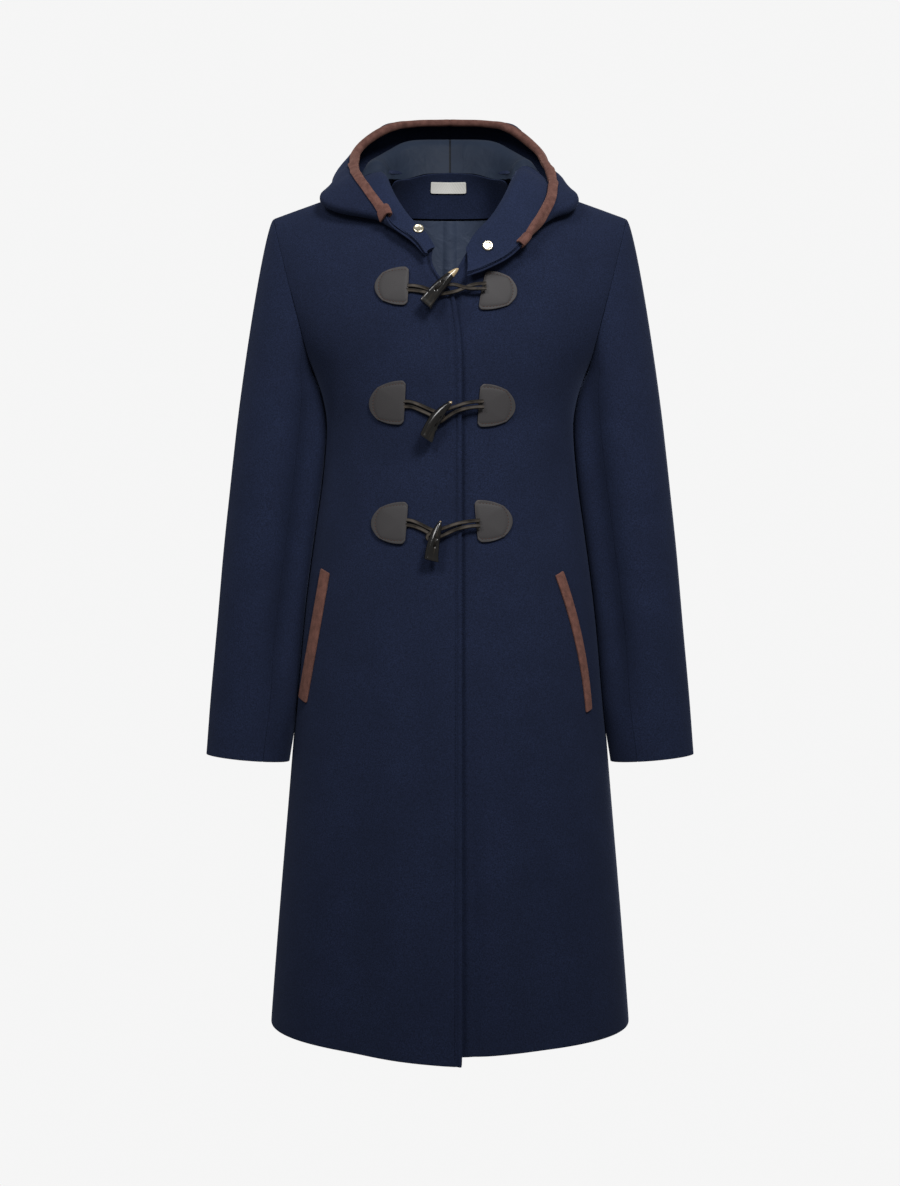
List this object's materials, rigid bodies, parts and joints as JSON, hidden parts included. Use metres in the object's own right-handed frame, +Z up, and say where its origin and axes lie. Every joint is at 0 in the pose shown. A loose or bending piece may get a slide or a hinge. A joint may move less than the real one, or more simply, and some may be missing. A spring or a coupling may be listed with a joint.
{
  "type": "duffle coat",
  "caption": "Long hooded wool coat in its worn form, hollow, with horn toggles on cord loops, leather patches, slanted bound pockets and the hood down.",
  "frame": {"origin": "between the shoulders, level with the point where the shoulder seams meet the neck: where the wearer's shoulders carry the coat", "axes": "+Z up, the coat's front faces -Y, +X is the wearer's left"},
  "size_m": [0.5618, 0.3422, 1.1016],
  "materials": {
    "coating_wool": "milled wool, matt",
    "facing_wool": "milled wool, matt",
    "lining_satin": "satin weave, soft sheen",
    "binding_suede": "suede-like tape, matt",
    "patch_leather": "smooth leather, low sheen",
    "loop_leather": "leather cord",
    "toggle_horn": "polished horn",
    "snap_metal": "pale polished metal",
    "woven_label": "woven satin label, blank"
  },
  "bodies": {
    "root": {"back": "coating_wool", "front_left": "coating_wool", "front_right": "coating_wool", "hood_binding_left": "binding_suede", "hood_binding_right": "binding_suede", "hood_facing_left": "facing_wool", "hood_facing_right": "facing_wool", "hood_lining_left": "lining_satin", "hood_lining_right": "lining_satin", "hood_shell_left": "coating_wool", "hood_shell_right": "coating_wool", "label": "woven_label", "lining_back": "lining_satin", "loop_left_1": "loop_leather", "loop_left_2": "loop_leather", "loop_left_3": "loop_leather", "loop_right_1": "loop_leather", "loop_right_2": "loop_leather", "loop_right_3": "loop_leather", "neck_facing": "facing_wool", "patch_left_1": "patch_leather", "patch_left_2": "patch_leather", "patch_left_3": "patch_leather", "patch_right_1": "patch_leather", "patch_right_2": "patch_leather", "patch_right_3": "patch_leather", "sleeve_top_left": "coating_wool", "sleeve_top_right": "coating_wool", "sleeve_under_left": "coating_wool", "sleeve_under_right": "coating_wool", "snap_left": "snap_metal", "snap_right": "snap_metal", "toggle_1": "toggle_horn", "toggle_2": "toggle_horn", "toggle_3": "toggle_horn", "welt_left": "binding_suede", "welt_right": "binding_suede"}
  },
  "joints": []
}
